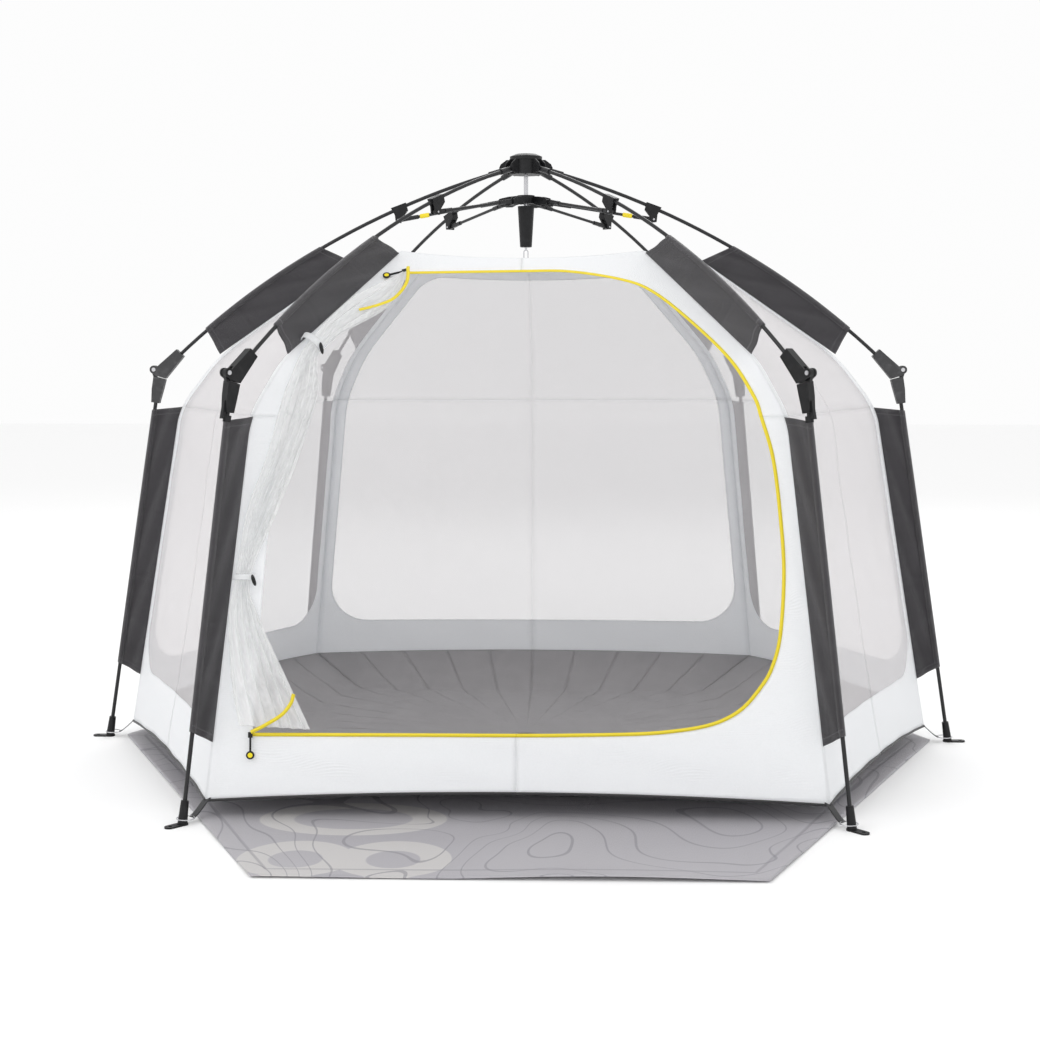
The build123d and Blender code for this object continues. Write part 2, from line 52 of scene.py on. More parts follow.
def make_floor():
    """A square plane under the tent, 40 m wide, with a plain pale finish."""
    half = 20
    mesh = bpy.data.meshes.new("studio_floor")
    corners = [(-half, -half, 0), (half, -half, 0), (half, half, 0), (-half, half, 0)]
    mesh.from_pydata(corners, [], [(0, 1, 2, 3)])
    floor = bpy.data.objects.new("studio_floor", mesh)
    scene.collection.objects.link(floor)
    finish = bpy.data.materials.new("studio_floor")
    finish.use_nodes = True
    shader = finish.node_tree.nodes["Principled BSDF"]
    shader.inputs["Base Color"].default_value = (0.96, 0.96, 0.96, 1)
    shader.inputs["Roughness"].default_value = 0.9
    mesh.materials.append(finish)


def make_light(name, place, aim, size, power):
    """A square soft box at place, turned towards aim."""
    lamp = bpy.data.lights.new(name, "AREA")
    lamp.size, lamp.energy = size, power
    light = bpy.data.objects.new(name, lamp)
    light.location = place
    direction = np.array(aim) - np.array(place)
    light.rotation_euler = Vector(direction).to_track_quat("-Z", "Y").to_euler()
    scene.collection.objects.link(light)


def make_camera():
    """The camera stands at sitting height, tipped down by five and a half degrees."""
    data = bpy.data.cameras.new("camera")
    data.lens, data.sensor_width = 58.26, 36
    camera = bpy.data.objects.new("camera", data)
    camera.location = (0.1167, -4.3405, 1.004)
    camera.rotation_euler = (radians(84.381), 0, radians(1.741))
    scene.collection.objects.link(camera)
    scene.camera = camera


make_floor()
make_light("left_box", (-3.2, -3.6, 4.2), (0, 0, 0.6), 3.0, 60)
make_light("right_box", (3.4, -3.0, 4.4), (0, 0, 0.6), 3.0, 25)
make_light("rear_box", (0.5, 4.2, 4.6), (0, 0, 0.8), 3.5, 70)
make_camera()
scene.world = bpy.data.worlds.new("studio")
scene.world.use_nodes = True
background = scene.world.node_tree.nodes["Background"]
background.inputs["Color"].default_value = (1, 1, 1, 1)
background.inputs["Strength"].default_value = 0.98
scene.view_settings.view_transform = "Standard"

# ---- node groups for cloth and plastic ----
# Woven cloth has crossing threads, a pulled cloth has long soft creases, and a
# moulded part has a fine grain. Each is one group that gives a height to a Bump node.


def add(tree, kind, inputs=None, **settings):
    """Adds a node, sets its properties and its inputs; an input that is a socket is linked."""
    made = tree.nodes.new(kind)
    for name, value in settings.items():
        setattr(made, name, value)
    for name, value in (inputs or {}).items():
        if isinstance(value, bpy.types.NodeSocket):
            tree.links.new(value, made.inputs[name])
        else:
            made.inputs[name].default_value = value
    return made


def new_group(name, inputs, outputs):
    """A node group with float or vector sockets: {name: default}; returns it and its two end nodes."""
    group = bpy.data.node_groups.new(name, "ShaderNodeTree")
    for socket, default in inputs.items():
        kind = "NodeSocketVector" if default is None else "NodeSocketFloat"
        made = group.interface.new_socket(socket, in_out="INPUT", socket_type=kind)
        if default is not None:
            made.default_value = default
    for socket in outputs:
        group.interface.new_socket(socket, in_out="OUTPUT", socket_type="NodeSocketFloat")
    return group, group.nodes.new("NodeGroupInput"), group.nodes.new("NodeGroupOutput")


def math(tree, operation, first, second=0.0, third=0.0):
    """One Math node's result."""
    return add(tree, "ShaderNodeMath", {0: first, 1: second, 2: third}, operation=operation).outputs[0]


def vector_math(tree, operation, first, second=(0, 0, 0), output="Vector"):
    """One Vector Math node's result."""
    return add(tree, "ShaderNodeVectorMath", {0: first, 1: second}, operation=operation).outputs[output]


def object_place(tree):
    """The shaded point's place in the piece's own space."""
    return add(tree, "ShaderNodeTexCoord").outputs["Object"]


def make_weave_group():
    """Threads: sin(x)·sin(y) over a pitch, with a slow variation from thread to thread."""
    group, start, end = new_group("plain_weave", {"Vector": None, "Pitch": 0.001}, ["Height", "Thread"])
    place = start.outputs["Vector"]
    parts = add(group, "ShaderNodeSeparateXYZ", {0: place})
    turns = math(group, "DIVIDE", 2 * pi, start.outputs["Pitch"])
    across = math(group, "SINE", math(group, "MULTIPLY", parts.outputs["X"], turns))
    along = math(group, "SINE", math(group, "MULTIPLY", parts.outputs["Y"], turns))
    over = math(group, "MULTIPLY", across, along)
    slubs = add(group, "ShaderNodeTexNoise", {"Vector": place, "Scale": 220.0, "Detail": 2.0})
    group.links.new(math(group, "MULTIPLY_ADD", over, 0.5, 0.5), end.inputs["Height"])
    group.links.new(slubs.outputs["Fac"], end.inputs["Thread"])
    return group


def make_crease_group():
    """Creases: ridged noise, 1 - |2n - 1|, on coordinates stretched along the pull of the cloth."""
    group, start, end = new_group("creases", {"Vector": None, "Scale": 3.0, "Stretch": 4.0}, ["Height"])
    ways = add(group, "ShaderNodeCombineXYZ", {"X": start.outputs["Stretch"], "Y": 1.0, "Z": 1.0})
    stretched = vector_math(group, "MULTIPLY", start.outputs["Vector"], ways.outputs[0])
    inputs = {"Vector": stretched, "Scale": start.outputs["Scale"], "Detail": 3.0, "Distortion": 0.6}
    noise = add(group, "ShaderNodeTexNoise", inputs)
    centred = math(group, "ABSOLUTE", math(group, "MULTIPLY_ADD", noise.outputs["Fac"], 2.0, -1.0))
    group.links.new(math(group, "SUBTRACT", 1.0, centred), end.inputs["Height"])
    return group


def make_grain_group():
    """Moulded grain: fine noise for the skin, and a slow noise for handling marks."""
    group, start, end = new_group("moulded_grain", {"Vector": None, "Scale": 900.0}, ["Height", "Marks"])
    place = start.outputs["Vector"]
    skin = add(group, "ShaderNodeTexNoise", {"Vector": place, "Scale": start.outputs["Scale"]})
    marks = add(group, "ShaderNodeTexNoise", {"Vector": place, "Scale": 60.0, "Detail": 4.0})
    group.links.new(skin.outputs["Fac"], end.inputs["Height"])
    group.links.new(marks.outputs["Fac"], end.inputs["Marks"])
    return group


weave_group, crease_group, grain_group = make_weave_group(), make_crease_group(), make_grain_group()


def new_finish(name, roughness, **constants):
    """A material with its Principled shader, and its constant values set on the shader's own sockets."""
    material = bpy.data.materials.new(name)
    material.use_nodes = True
    shader = material.node_tree.nodes["Principled BSDF"]
    shader.inputs["Roughness"].default_value = roughness
    for socket, value in constants.items():
        shader.inputs[socket.replace("_", " ")].default_value = value
    return material, material.node_tree, shader


def mix_colours(tree, share, first, second):
    """Mixes two colours by a share between 0 and 1."""
    return add(tree, "ShaderNodeMix", {0: share, 6: first, 7: second}, data_type="RGBA").outputs[2]


def step(tree, value, low, high):
    """0 below low, 1 above high, smooth between."""
    inputs = {"Value": value, "From Min": low, "From Max": high}
    return add(tree, "ShaderNodeMapRange", inputs, interpolation_type="SMOOTHSTEP").outputs[0]


def cloth_height(tree, vector, pitch, crease_scale, stretch, crease_share):
    """Threads and creases added up as one height; returned with the two groups' nodes."""
    threads = add(tree, "ShaderNodeGroup", {"Vector": vector, "Pitch": pitch}, node_tree=weave_group)
    inputs = {"Vector": vector, "Scale": crease_scale, "Stretch": stretch}
    creases = add(tree, "ShaderNodeGroup", inputs, node_tree=crease_group)
    fine = math(tree, "MULTIPLY", threads.outputs["Height"], 1 - crease_share)
    return math(tree, "MULTIPLY_ADD", creases.outputs["Height"], crease_share, fine), threads, creases


def dress(tree, shader, colour, height, distance, strength=1.0):
    """Gives the shader a colour, and a normal from a height by a Bump node."""
    tree.links.new(colour, shader.inputs["Base Color"])
    made = add(tree, "ShaderNodeBump", {"Height": height, "Distance": distance, "Strength": strength})
    tree.links.new(made.outputs[0], shader.inputs["Normal"])


# ---- moulded parts, poles and bare metal ----
# The hub, runner, knees, brackets and feet are black glass-filled nylon; the poles
# are pultruded fibreglass with a black skin; rivets, rod, rings and the loop are steel.

poles = {"right": 0, "rear_right": 49.5, "rear_left": 130.5, "left": 180}
poles.update({"front_left": 229.5, "front_right": 310.5})


def outward(azimuth):
    """Unit vector away from the hub's axis along a pole's azimuth."""
    return np.array([cos(radians(azimuth)), sin(radians(azimuth)), 0.0])


def sideways(azimuth):
    """Unit vector across a pole's plane."""
    return np.array([-sin(radians(azimuth)), cos(radians(azimuth)), 0.0])


def moulded(name, colour, metal_from=None, azimuth=0, ring=None, spot=None):
    """Black nylon with a fine grain and rubbed patches.

    Where metal_from is given, what stands further than that from the pole's plane is a steel
    rivet head. Where ring is given, what is over 17.6 mm from that upright axis and over
    10.5 mm up is steel wire. Where spot is given, a round yellow mark 5.5 mm in radius is
    printed round that point.
    """
    material, tree, shader = new_finish(name, 0.45, Specular_IOR_Level=0.3)
    place = object_place(tree)
    grain = add(tree, "ShaderNodeGroup", {"Vector": place}, node_tree=grain_group)
    rubbed = step(tree, grain.outputs["Marks"], 0.45, 0.75)
    lighter = tuple(c * 1.5 + 0.003 for c in colour[:3]) + (1,)
    paint = mix_colours(tree, rubbed, colour, lighter)
    rough = math(tree, "MULTIPLY_ADD", grain.outputs["Marks"], 0.25, 0.32)
    if metal_from or ring is not None:
        if metal_from:
            across = vector_math(tree, "DOT_PRODUCT", place, sideways(azimuth), "Value")
            steel = math(tree, "GREATER_THAN", math(tree, "ABSOLUTE", across), metal_from)
        else:
            level = vector_math(tree, "MULTIPLY", place, (1, 1, 0))
            apart = vector_math(tree, "DISTANCE", level, ring, "Value")
            height = add(tree, "ShaderNodeSeparateXYZ", {0: place}).outputs["Z"]
            outer = math(tree, "GREATER_THAN", apart, 0.0176)
            steel = math(tree, "MULTIPLY", outer, math(tree, "GREATER_THAN", height, 0.0105))
        paint = mix_colours(tree, steel, paint, (0.62, 0.62, 0.64, 1))
        rough = math(tree, "MULTIPLY_ADD", steel, -0.15, rough)
        tree.links.new(steel, shader.inputs["Metallic"])
    if spot:
        apart = vector_math(tree, "DISTANCE", place, spot, "Value")
        printed = math(tree, "LESS_THAN", apart, 0.0055)
        paint = mix_colours(tree, printed, paint, (0.88, 0.72, 0.02, 1))
    tree.links.new(rough, shader.inputs["Roughness"])
    dress(tree, shader, paint, grain.outputs["Height"], 0.0002, 0.5)
    return material


def fibreglass():
    """A pultruded skin, with a small even unevenness in its shade and its gloss."""
    coat = {"Coat_Weight": 0.1, "Coat_Roughness": 0.2, "Specular_IOR_Level": 0.3}
    material, tree, shader = new_finish("black_pole", 0.3, **coat)
    place = object_place(tree)
    noise = add(tree, "ShaderNodeTexNoise", {"Vector": place, "Scale": 400.0, "Detail": 3.0}).outputs["Fac"]
    shade = mix_colours(tree, noise, (0.008, 0.008, 0.009, 1), (0.026, 0.026, 0.028, 1))
    tree.links.new(math(tree, "MULTIPLY_ADD", noise, 0.2, 0.22), shader.inputs["Roughness"])
    dress(tree, shader, shade, noise, 0.0001, 0.3)
    return material


def steel():
    """Bright steel, slightly uneven in its shade and its gloss."""
    material, tree, shader = new_finish("bright_steel", 0.25, Metallic=1.0)
    place = object_place(tree)
    noise = add(tree, "ShaderNodeTexNoise", {"Vector": place, "Scale": 700.0}).outputs["Fac"]
    shade = mix_colours(tree, noise, (0.5, 0.5, 0.52, 1), (0.72, 0.72, 0.74, 1))
    tree.links.new(shade, shader.inputs["Base Color"])
    tree.links.new(math(tree, "MULTIPLY_ADD", noise, 0.2, 0.15), shader.inputs["Roughness"])
    return material


def paint_nodes(material, *names):
    """Gives CAD nodes one material."""
    for name in names:
        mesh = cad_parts[name].data
        mesh.materials.clear()
        mesh.materials.append(material)


black = (0.008, 0.008, 0.009, 1)
paint_nodes(moulded("black_nylon", black), "hub_body", "hub_cap", "runner", "runner_handle")
paint_nodes(moulded("upper_pull_nylon", black, spot=(-0.3124, -0.4101, 1.1871)), "zip_pull_top")
paint_nodes(moulded("lower_pull_nylon", black, spot=(-0.576, -0.7830, 0.1403)), "zip_pull_bottom")
paint_nodes(steel(), "centre_rod", "pull_loop")
pole_skin = fibreglass()
foot_radius, ring_radius = 1.100, 1.091
for pole, azimuth in poles.items():
    grey = (0.05, 0.05, 0.052, 1) if pole in ("left", "right") else black
    paint_nodes(moulded(f"knee_nylon_{pole}", grey, 0.01008, azimuth), f"knee_upper_{pole}")
    paint_nodes(moulded(f"bracket_nylon_{pole}", black, 0.00908, azimuth), f"strut_bracket_{pole}")
    paint_nodes(moulded(f"knee_socket_{pole}", grey), f"knee_lower_{pole}")
    paint_nodes(moulded(f"foot_nylon_{pole}", black, ring=ring_radius * outward(azimuth)), f"foot_{pole}")
    paint_nodes(pole_skin, f"upper_pole_{pole}", f"lower_pole_{pole}", f"strut_{pole}")

# ---- the body's walls ----
# Five sides are white polyester with a large net window let in; each is sewn to its
# neighbours along the corners, which the wings pull out to the poles. Lengths are in metres.

body_bottom, knee_level, body_top = 0.042, 0.869, 1.247
body_height = 1.205


def corner_radius(height):
    """Radius of the body's corner line at a height, with its two bends rounded over 80 mm."""
    heights, radii = [body_bottom, knee_level, 1.002, body_top], [1.037, 0.897, 0.793, 0.439]
    spread = np.linspace(-0.04, 0.04, 9)
    inside = np.clip(np.minimum(height - body_bottom, body_top - height) / 0.04, 0, 1)
    return np.mean([np.interp(height + s * inside, heights, radii) for s in spread], axis=0)


def surface(name, points, material, uv=None, attributes=None, thickness=0.0, closed=False, caps=(True, True)):
    """A mesh from a grid of points, rows by columns; closed joins the last column to the first.

    Vertex (i, j) is number i·columns + j, and each cell is one four-sided face.
    """
    rows, columns = points.shape[:2]
    i, j = np.meshgrid(np.arange(rows - 1), np.arange(columns if closed else columns - 1), indexing="ij")
    right = (j + 1) % columns
    quads = [i * columns + j, i * columns + right, (i + 1) * columns + right, (i + 1) * columns + j]
    faces = np.stack(quads, -1).reshape(-1, 4).tolist()
    if closed and caps[0]:
        faces.append(list(range(columns))[::-1])
    if closed and caps[1]:
        faces.append(list(range((rows - 1) * columns, rows * columns)))
    mesh = bpy.data.meshes.new(name)
    mesh.from_pydata(points.reshape(-1, 3).tolist(), [], faces)
    if uv is not None:
        layer = mesh.uv_layers.new(name="cloth")
        corners = np.empty(len(mesh.loops), np.int32)
        mesh.loops.foreach_get("vertex_index", corners)
        layer.data.foreach_set("uv", uv.reshape(-1, 2)[corners].astype(np.float32).ravel())
    for key, values in (attributes or {}).items():
        layer = mesh.attributes.new(key, "FLOAT", "POINT")
        layer.data.foreach_set("value", values.astype(np.float32).ravel())
    mesh.shade_smooth()
    mesh.materials.append(material)
    made = bpy.data.objects.new(name, mesh)
    scene.collection.objects.link(made)
    if thickness:
        solid = made.modifiers.new("thickness", "SOLIDIFY")
        solid.thickness, solid.offset = thickness, 0
    return made


def lengths(points, axis):
    """Running length along one way of a grid."""
    gaps = np.linalg.norm(np.diff(points, axis=axis), axis=2)
    start = np.zeros_like(np.take(gaps, [0], axis))
    return np.concatenate([start, np.cumsum(gaps, axis)], axis)


def cloth_area(points):
    """Area of a grid's cells, from their diagonals."""
    first, second = points[1:, 1:] - points[:-1, :-1], points[1:, :-1] - points[:-1, 1:]
    return float(np.linalg.norm(np.cross(first, second), axis=2).sum() / 2)


def declare_cloth(points):
    """Works out a sheet's own unrolled size, its mean width, its mean length and its area, and keeps none of
    them.
    """
    down, across = lengths(points, 0)[-1].mean(), lengths(points, 1)[:, -1].mean()
    area = cloth_area(points)
    down, across = max(down, area / max(across, 0.011)), max(across, 0.011)
    area = min(area, across * down)


def ripples(points, size, amount):
    """Soft uneven waves over a cloth: three crossing sines of the place, at most amount high."""
    x, y, z = np.moveaxis(points, -1, 0) / size
    return amount * (np.sin(3 * x + 2 * z) * np.sin(4 * z - y) + 0.6 * np.sin(7 * y + 5 * z + x)) / 1.6


def ride_wall(piece, pole, first, second, low, high):
    """The cloth rides on its corner's pole."""
    body = f"leg_{pole}" if low < 0.5 else f"rib_{pole}"
    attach(piece, body)
    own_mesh(piece)


def wall_point(first, second, share, height):
    """A point of the wall between two poles: share of the way across, at a height of the corners.

    The lower edge arches up by 20 mm and the upper edge sags by 18 mm between the corners,
    and the middle is drawn in by 10 mm.
    """
    run = 4 * share * (1 - share)
    height = height + 0.020 * run * np.clip(1 - (height - body_bottom) / 0.3, 0, 1) ** 2
    height = height - 0.018 * run * np.clip(1 - (body_top - height) / 0.25, 0, 1) ** 2
    radius = corner_radius(height)
    draw = 0.010 * run * np.sin(pi * np.clip((height - body_bottom) / body_height, 0, 1))
    a, b = outward(first), outward(second)
    flat = (a + (b - a) * share[..., None]) * radius[..., None]
    middle = (a + b) / np.linalg.norm(a + b)
    return flat - middle * draw[..., None] + np.array([0, 0, 1.0]) * height[..., None]


def wall_grid(first, second, low, high, side):
    """Grid of one half of a wall: rows up, columns from its first corner to its middle, or on
    from its middle to its second corner."""
    heights = np.linspace(low, high, int((high - low) / 0.013) + 2)
    shares = np.linspace(0, 0.5, 34) if side == 0 else np.linspace(0.5, 1, 34)
    share, height = np.meshgrid(shares, heights)
    points = wall_point(first, second, share, height)
    fade = np.clip(np.minimum(share, 1 - share) / 0.06, 0, 1) * np.clip((body_top - height) / 0.05, 0, 1)
    out = outward((first + second) / 2)
    return points + (ripples(points, 0.16, 0.0022) * fade)[..., None] * out, share, height


def window_edge(share, height, chord):
    """How far inside the net window a point is, in metres: a box with round lower corners.

    The window stands 30 mm in from the seams and 147 mm up; R minus the distance into a corner's
    square gives the round corners, and the smaller of the lower and upper pairs counts.
    """
    width = chord * corner_radius(height)
    side = np.minimum(share, 1 - share) * width - 0.030
    rise, drop = height - 0.189, (body_top - height) * 1.25 - 0.03
    low = 0.12 - np.hypot(np.clip(0.12 - side, 0, None), np.clip(0.12 - rise, 0, None))
    high = 0.05 - np.hypot(np.clip(0.05 - side, 0, None), np.clip(0.05 - drop, 0, None))
    return np.minimum(low, high)


# painted light: a faint bluish emitted glow stands in for the light that comes through thin white cloth from
# its far side; the sheen is the shader's own
painted_glow_and_sheen = {"Emission_Color": (0.93, 0.96, 1.0, 1), "Emission_Strength": 0.17, "Sheen_Weight": 0.15}


def wall_finish():
    """White polyester round a window of fine pale net, with a seam where they meet.

    The net is a share of cover for each of its two faces, so light and shapes show through.
    """
    # the cloth glows faintly: painted light for what comes through it
    material, tree, shader = new_finish("white_and_net", 0.7, **painted_glow_and_sheen)
    flat = add(tree, "ShaderNodeUVMap", uv_map="cloth").outputs[0]
    inside = add(tree, "ShaderNodeAttribute", attribute_name="window").outputs["Fac"]
    net = step(tree, inside, -0.0005, 0.001)
    seam = math(tree, "SUBTRACT", step(tree, inside, -0.004, -0.002), step(tree, inside, 0.0005, 0.002))
    height, threads, _ = cloth_height(tree, flat, 0.0016, 4.0, 1.6, 0.75)
    white = mix_colours(tree, threads.outputs["Thread"], (0.76, 0.77, 0.785, 1), (0.81, 0.815, 0.825, 1))
    pale = mix_colours(tree, threads.outputs["Thread"], (0.72, 0.685, 0.69, 1), (0.78, 0.745, 0.75, 1))
    cloth = mix_colours(tree, net, white, pale)
    cloth = mix_colours(tree, math(tree, "MULTIPLY", seam, 0.45), cloth, (0.42, 0.42, 0.43, 1))
    cover = math(tree, "MULTIPLY_ADD", threads.outputs["Height"], 0.10, 0.32)
    solid = math(tree, "MULTIPLY_ADD", math(tree, "SUBTRACT", cover, 1.0), net, 1.0)
    tree.links.new(solid, shader.inputs["Alpha"])
    dress(tree, shader, cloth, height, 0.004, 0.7)
    return material


net_wall = wall_finish()
names, angles = list(poles), list(poles.values())
for side in (0, 1, 2, 3, 5):
    first, second = angles[side], angles[(side + 1) % 6] + (360 if side == 5 else 0)
    chord = 2 * sin(radians((second - first) / 2))
    for half in (0, 1):
        pole = names[(side + half) % 6]
        for low, high in ((body_bottom, knee_level), (knee_level, body_top)):
            points, share, height = wall_grid(first, second, low, high, half)
            window = window_edge(share, height, chord)
            flat = np.stack([lengths(points, 1) + half * 0.5 * chord, height * 1.1], -1)
            level = "lower" if low < 0.5 else "upper"
            name = f"wall_{names[side]}_{'ab'[half]}_{level}"
            wall = surface(name, points, net_wall, flat, {"window": window}, 0.0003)
            ends = (first, second) if half == 0 else (second, first)
            ride_wall(wall, pole, *ends, low, high)
            declare_cloth(points)
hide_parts("tent_walls")

# ---- front wall with the door opening ----
# White polyester all over, cut away along a long curve that the door's zip follows;
# the cut edge is hemmed under the zip's tape.

front_first, front_second = poles["front_left"], poles["front_right"]
front_half = radians((front_second - front_first) / 2)


def on_front(x, z, off=0.0):
    """A point of the front wall from its place across and its height, lifted off it by off."""
    radius = corner_radius(z)
    share = np.clip(x / (2 * radius * sin(front_half)) + 0.5, 0, 1)
    run = 4 * share * (1 - share)
    draw = 0.010 * run * np.sin(pi * np.clip((z - body_bottom) / body_height, 0, 1))
    slope = (corner_radius(z + 0.01) - corner_radius(z - 0.01)) / 0.02 * cos(front_half)
    size = np.hypot(1, slope)
    y = -radius * cos(front_half) + draw
    return np.stack([x, y - off / size, z - off * slope / size], -1)


def ride_front(piece, pole, low, high):
    """What belongs to the front wall rides on the pole that it is given."""
    ends = (front_first, front_second) if pole == "front_left" else (front_second, front_first)
    ride_wall(piece, pole, *ends, low, high)


def smooth_line(knots, count):
    """A line through knots by Catmull-Rom segments: cubics whose slope at a knot is half the
    step between its neighbours, sampled at even steps of length."""
    knots = np.array(knots, float)
    padded = np.vstack([2 * knots[0] - knots[1], knots, 2 * knots[-1] - knots[-2]])
    t = np.linspace(0, len(knots) - 1, 60 * len(knots))
    k = np.minimum(t.astype(int), len(knots) - 2)
    f = (t - k)[:, None]
    p0, p1, p2, p3 = (padded[k + n] for n in range(4))
    square, cube = 2 * p0 - 5 * p1 + 4 * p2 - p3, 3 * p1 - p0 - 3 * p2 + p3
    line = 0.5 * (2 * p1 + (p2 - p0) * f + square * f**2 + cube * f**3)
    run = np.concatenate([[0], np.cumsum(np.linalg.norm(np.diff(line, axis=0), axis=1))])
    even = np.linspace(0, run[-1], count)
    return np.stack([np.interp(even, run, line[:, n]) for n in range(line.shape[1])], -1)


def straight(a, b, count):
    """Even points from a to b."""
    return np.array(a) + (np.array(b) - np.array(a)) * np.linspace(0, 1, count)[:, None]


door_right = [
    (0.0, 1.196), (0.110, 1.195), (0.233, 1.175), (0.303, 1.146), (0.383, 1.079), (0.466, 0.992),
    (0.514, 0.912), (0.528, knee_level), (0.553, 0.779), (0.569, 0.650), (0.576, 0.531),
    (0.568, 0.402), (0.550, 0.332),
    (0.525, 0.289), (0.490, 0.248), (0.452, 0.223), (0.407, 0.207), (0.342, 0.196), (0.258, 0.189),
    (0.095, 0.185), (0.0, 0.184),
]
door_left = [
    (0.0, 0.184), (-0.30, 0.183), (-0.570, 0.183), (-0.572, 0.186), (-0.548, 0.560), (-0.512, knee_level),
]
door_top_left = [
    (-0.512, knee_level), (-0.462, 0.982), (-0.37, 1.085), (-0.271, 1.192), (-0.265, 1.193), (0.0, 1.196),
]


def corner_side(sign, low, high, count):
    """The wall's own side edge between two heights, as places across and heights."""
    z = np.linspace(low, high, count)
    return np.stack([sign * corner_radius(z) * sin(front_half), z], -1)


def edge_row(lower, start, stop, count):
    """The wall's arched lower edge or sagging upper edge between two places across."""
    x = np.linspace(start, stop, count)
    half_width = corner_radius(body_bottom if lower else body_top) * sin(front_half)
    run = 1 - (x / half_width) ** 2
    return np.stack([x, body_bottom + 0.020 * run if lower else body_top - 0.018 * run], -1)


def front_sections():
    """Each section: its name, pole, heights, inner line along the door and outer line along the wall."""
    top, bottom = corner_radius(body_top) * sin(front_half), corner_radius(body_bottom) * sin(front_half)
    upper_right, lower_right = door_right[:8], door_right[7:]
    return [
        ("upper_right", "front_right", (knee_level, body_top), smooth_line(upper_right, 80),
         np.vstack([edge_row(False, 0, top, 36), corner_side(1, body_top, knee_level, 45)[1:]])),
        ("lower_right", "front_right", (body_bottom, knee_level), smooth_line(lower_right, 120),
         np.vstack([corner_side(1, knee_level, body_bottom, 66), edge_row(True, bottom, 0, 55)[1:]])),
        ("lower_left", "front_left", (body_bottom, knee_level),
         np.vstack([straight(door_left[0], door_left[2], 55), smooth_line(door_left[3:], 65)]),
         np.vstack([edge_row(True, 0, -bottom, 55), corner_side(-1, body_bottom, knee_level, 66)[1:]])),
        ("upper_left", "front_left", (knee_level, body_top),
         np.vstack([smooth_line(door_top_left[:4], 45), straight(door_top_left[4], door_top_left[5], 35)]),
         np.vstack([corner_side(-1, knee_level, body_top, 45), edge_row(False, -top, 0, 36)[1:]])),
    ]


def white_cloth(name="white_polyester", crease=0.8):
    """White polyester: fine threads and soft creases."""
    # the cloth glows faintly: painted light for what comes through it
    material, tree, shader = new_finish(name, 0.62, **painted_glow_and_sheen)
    place = object_place(tree)
    height, threads, _ = cloth_height(tree, place, 0.0012, 3.0, 0.7, crease)
    white = mix_colours(tree, threads.outputs["Thread"], (0.76, 0.77, 0.78, 1), (0.81, 0.815, 0.825, 1))
    dress(tree, shader, white, height, 0.006, 0.6)
    return material


polyester = white_cloth()
for name, pole, (low, high), inner, outer in front_sections():
    share = np.linspace(0, 1, 16)[:, None, None]
    flat = inner[None] + (outer - inner)[None] * share
    points = on_front(flat[..., 0], flat[..., 1])
    lift = ripples(points, 0.12, 0.002) * np.sin(pi * share[..., 0])
    points = points + lift[..., None] * np.array([0, -1.0, 0])
    wall = surface(f"front_{name}", points, polyester, flat, None, 0.0004)
    ride_front(wall, pole, low, high)
    declare_cloth(points)
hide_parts("tent_front")

# ---- the door's zip ----
# Yellow coil zip: a woven tape with a raised coil down its middle, sewn along the
# door's edge; the part that belongs to the open curtain hangs with it.


def zip_finish():
    """Yellow tape and coil, with fine ribs across them every 1.6 mm."""
    material, tree, shader = new_finish("yellow_zip", 0.5)
    flat = add(tree, "ShaderNodeUVMap", uv_map="cloth").outputs[0]
    parts = add(tree, "ShaderNodeSeparateXYZ", {0: flat})
    turns = math(tree, "SINE", math(tree, "MULTIPLY", parts.outputs["X"], 2 * pi / 0.0016))
    shade = math(tree, "MULTIPLY_ADD", turns, 0.5, 0.5)
    colour = mix_colours(tree, shade, (0.80, 0.62, 0.012, 1), (0.93, 0.77, 0.045, 1))
    dress(tree, shader, colour, shade, 0.0004, 0.8)
    return material


yellow_zip = zip_finish()


def zip_strip(name, line, pole, low, high, off=0.0012):
    """A closed band along a line of the front wall: 8 mm wide, with a rounded rib 2.5 mm high.

    At each point the section's places are the line's sideways vector times across, plus the
    wall's outward vector times height.
    """
    across = np.array([-4, -3.9, -2.0, -1.2, 0, 1.2, 2.0, 3.9, 4, 3.9, -3.9]) / 1000
    height = np.array([0, 0.9, 1.0, 2.1, 2.5, 2.1, 1.0, 0.9, 0, -0.4, -0.4]) / 1000
    centre = on_front(line[:, 0], line[:, 1], off)
    out = on_front(line[:, 0], line[:, 1], off + 0.001) - centre
    out /= np.linalg.norm(out, axis=1)[:, None]
    along = np.gradient(centre, axis=0)
    side = np.cross(along, out)
    side /= np.linalg.norm(side, axis=1)[:, None]
    points = centre[:, None] + side[:, None] * across[None, :, None] + out[:, None] * height[None, :, None]
    run = lengths(centre[:, None], 0)
    flat = np.stack(np.broadcast_arrays(run, across[None] + 0 * run), -1)
    strip = surface(name, points, yellow_zip, flat, closed=True)
    ride_front(strip, pole, low, high)
    return strip


zip_top = zip_strip("zip_upper_right", smooth_line(door_right[:8], 220), "front_right", knee_level, body_top)
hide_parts("door_zip")
zip_strip("zip_lower_right", smooth_line(door_right[7:], 420), "front_right", body_bottom, knee_level)
zip_strip("zip_upper_left", straight((-0.271, 1.192), (0, 1.196), 90), "front_left", knee_level, body_top)
zip_strip("zip_lower_left", straight((0, 0.184), (-0.576, 0.183), 160), "front_left", body_bottom, knee_level)

# ---- roof ----
# White polyester panels sewn to the walls' upper edges, slightly dished; the panels are narrow gores.


def gores(first, second, size):
    """Splits a side into gores of about size degrees: (start, stop) shares of the side."""
    count = round((second - first) / size)
    return [(n / count, (n + 1) / count) for n in range(count)]


def ride_gore(piece, body):
    """The gore rides on the body that it is given."""
    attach(piece, body)
    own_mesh(piece)


